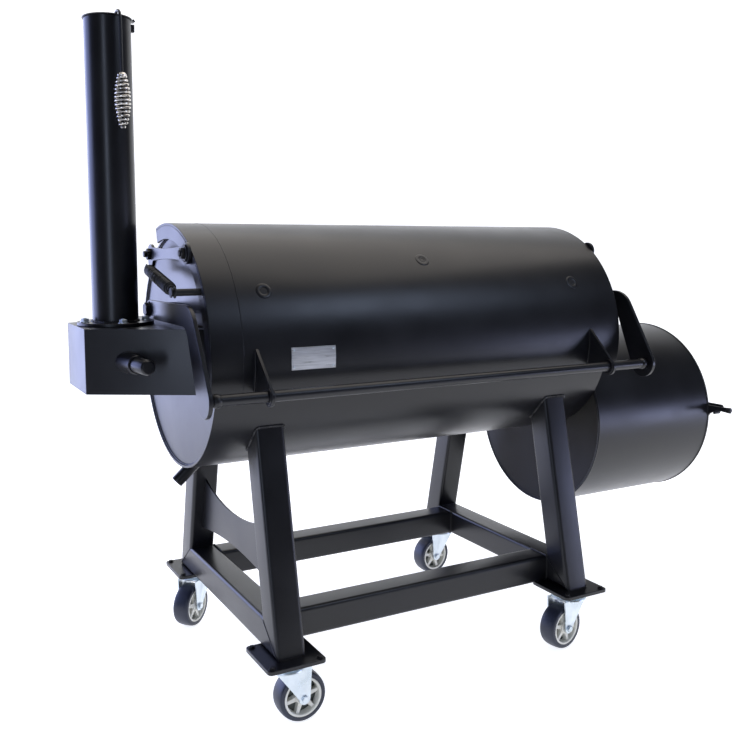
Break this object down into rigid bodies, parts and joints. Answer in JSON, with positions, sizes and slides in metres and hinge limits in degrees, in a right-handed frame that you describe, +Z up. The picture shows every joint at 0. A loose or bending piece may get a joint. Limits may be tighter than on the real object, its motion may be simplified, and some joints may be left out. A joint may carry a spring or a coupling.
{
  "type": "offset smoker",
  "caption": "Horizontal barrel smoker with an end firebox, a smoke collector and stack, a counterbalanced lid on a linkage, and a splayed tube stand on swivel casters.",
  "frame": {"origin": "middle of the footprint, on the floor under the casters", "axes": "+X from the stack end to the firebox end along the cook chamber, -Y to the cook's side where the lid opens, +Z up"},
  "size_m": [2.0118, 0.836, 1.7141],
  "materials": {
    "black_paint": "satin black powder coat",
    "lid_paint": "satin black powder coat with a soft sheen",
    "bare_grate": "bare seasoned steel",
    "zinc": "bright zinc plate",
    "badge_steel": "brushed, etched border",
    "grip_nickel": "nickel plated spring wire",
    "spring_black": "black oxide spring wire",
    "rim_cream": "cream moulded wheel centre",
    "tyre_navy": "dark blue-black polyurethane tread"
  },
  "bodies": {
    "pit": {"cook_chamber": "black_paint", "end_cap_left": "black_paint", "end_cap_right": "black_paint", "cooking_grate_left": "bare_grate", "cooking_grate_right": "bare_grate", "grate_ledge_front": "black_paint", "grate_ledge_rear": "black_paint", "drain_spout": "black_paint", "smoke_collector": "black_paint", "collector_port": "black_paint", "stack_flange": "black_paint", "stack_pipe": "black_paint", "firebox_shell": "black_paint", "firebox_inner_end": "black_paint", "firebox_outer_end": "black_paint", "fire_grate": "bare_grate", "leg_front_left": "black_paint", "leg_front_right": "black_paint", "leg_rear_left": "black_paint", "leg_rear_right": "black_paint", "side_rail_left": "black_paint", "side_rail_right": "black_paint", "long_rail_front": "black_paint", "long_rail_rear": "black_paint", "brace_plate": "black_paint", "caster_pad_front_left": "black_paint", "caster_pad_front_right": "black_paint", "caster_pad_rear_left": "black_paint", "caster_pad_rear_right": "black_paint"},
    "lid_arms": {"arm_left": "black_paint", "arm_right": "black_paint", "handle_bar": "black_paint"},
    "lid": {"lid_shell": "lid_paint", "lid_end_left": "black_paint", "lid_end_right": "black_paint", "gusset_left": "black_paint", "gusset_right": "black_paint", "badge_plate": "badge_steel"},
    "link_left": {"link_left": "black_paint"},
    "link_right": {"link_right": "black_paint"},
    "lid_spring": {"lid_spring": "spring_black"},
    "rain_cap": {"rain_cap": "black_paint", "cap_grip": "grip_nickel"},
    "firebox_door": {"firebox_door": "black_paint"},
    "firebox_latch": {"firebox_latch": "black_paint"},
    "air_damper": {"air_damper": "black_paint"},
    "caster_front_left": {"caster_fork_front_left": "zinc"},
    "wheel_front_left": {"caster_rim_front_left": "rim_cream", "caster_tyre_front_left": "tyre_navy"},
    "caster_front_right": {"caster_fork_front_right": "zinc"},
    "wheel_front_right": {"caster_rim_front_right": "rim_cream", "caster_tyre_front_right": "tyre_navy"},
    "caster_rear_left": {"caster_fork_rear_left": "zinc"},
    "wheel_rear_left": {"caster_rim_rear_left": "rim_cream", "caster_tyre_rear_left": "tyre_navy"},
    "caster_rear_right": {"caster_fork_rear_right": "zinc"},
    "wheel_rear_right": {"caster_rim_rear_right": "rim_cream", "caster_tyre_rear_right": "tyre_navy"}
  },
  "joints": [
    {"name": "lid_arm_pivot", "type": "hinge", "parent": "pit", "child": "lid_arms", "pos_m": [-0.1468, 0.031, 0.997], "axis": [-1, 0, 0], "range_deg": [0, 50]},
    {"name": "lid_on_bar", "type": "hinge", "parent": "lid_arms", "child": "lid", "pos_m": [-0.1468, -0.391, 0.821], "axis": [1, 0, 0], "range_deg": [0, 23]},
    {"name": "link_left_pivot", "type": "hinge", "parent": "pit", "child": "link_left", "pos_m": [-0.7794, 0.122, 1.137], "axis": [-1, 0, 0], "range_deg": [0, 57]},
    {"name": "link_right_pivot", "type": "hinge", "parent": "pit", "child": "link_right", "pos_m": [0.4858, 0.122, 1.137], "axis": [-1, 0, 0], "range_deg": [0, 57]},
    {"name": "lid_spring_hook", "type": "hinge", "parent": "lid", "child": "lid_spring", "pos_m": [-0.8348, -0.2512, 1.05287], "axis": [-1, 0, 0], "range_deg": [0, 24], "deforming": ["lid_spring"]},
    {"name": "rain_cap_hinge", "type": "hinge", "parent": "pit", "child": "rain_cap", "pos_m": [-0.8458, 0.009, 1.7016], "axis": [0, 1, 0], "range_deg": [0, 85]},
    {"name": "firebox_door_hinge", "type": "hinge", "parent": "pit", "child": "firebox_door", "pos_m": [0.9537, 0.271, 0.6061], "axis": [0, 0, 1], "range_deg": [0, 110]},
    {"name": "firebox_latch_pin", "type": "hinge", "parent": "firebox_door", "child": "firebox_latch", "pos_m": [0.9497, -0.196, 0.6361], "axis": [-1, 0, 0], "range_deg": [0, 80]},
    {"name": "air_damper_pin", "type": "hinge", "parent": "firebox_door", "child": "air_damper", "pos_m": [0.9497, 0.009, 0.4911], "axis": [1, 0, 0], "range_deg": [0, 60]},
    {"name": "swivel_front_left", "type": "hinge", "parent": "pit", "child": "caster_front_left", "pos_m": [-0.5998, -0.324, 0.1657], "axis": [0, 0, 1], "continuous": true},
    {"name": "axle_front_left", "type": "hinge", "parent": "caster_front_left", "child": "wheel_front_left", "pos_m": [-0.5638, -0.324, 0.0635], "axis": [0, 1, 0], "continuous": true},
    {"name": "swivel_front_right", "type": "hinge", "parent": "pit", "child": "caster_front_right", "pos_m": [0.3062, -0.324, 0.1657], "axis": [0, 0, 1], "continuous": true},
    {"name": "axle_front_right", "type": "hinge", "parent": "caster_front_right", "child": "wheel_front_right", "pos_m": [0.27064, -0.32963, 0.0635], "axis": [0.1564, -0.9877, 0], "continuous": true},
    {"name": "swivel_rear_left", "type": "hinge", "parent": "pit", "child": "caster_rear_left", "pos_m": [-0.5998, 0.342, 0.1657], "axis": [0, 0, 1], "continuous": true},
    {"name": "axle_rear_left", "type": "hinge", "parent": "caster_rear_left", "child": "wheel_rear_left", "pos_m": [-0.62778, 0.31934, 0.0635], "axis": [0.6293, -0.7771, 0], "continuous": true},
    {"name": "swivel_rear_right", "type": "hinge", "parent": "pit", "child": "caster_rear_right", "pos_m": [0.3062, 0.342, 0.1657], "axis": [0, 0, 1], "continuous": true},
    {"name": "axle_rear_right", "type": "hinge", "parent": "caster_rear_right", "child": "wheel_rear_right", "pos_m": [0.27047, 0.33761, 0.0635], "axis": [0.1219, -0.9925, 0], "continuous": true}
  ],
  "couplings": [
    {"joint": "lid_on_bar", "follows": "lid_arm_pivot", "ratio": 0.4493},
    {"joint": "link_left_pivot", "follows": "lid_arm_pivot", "ratio": 1.1305},
    {"joint": "link_right_pivot", "follows": "lid_arm_pivot", "ratio": 1.1305},
    {"joint": "lid_spring_hook", "follows": "lid_arm_pivot", "ratio": 0.463}
  ]
}
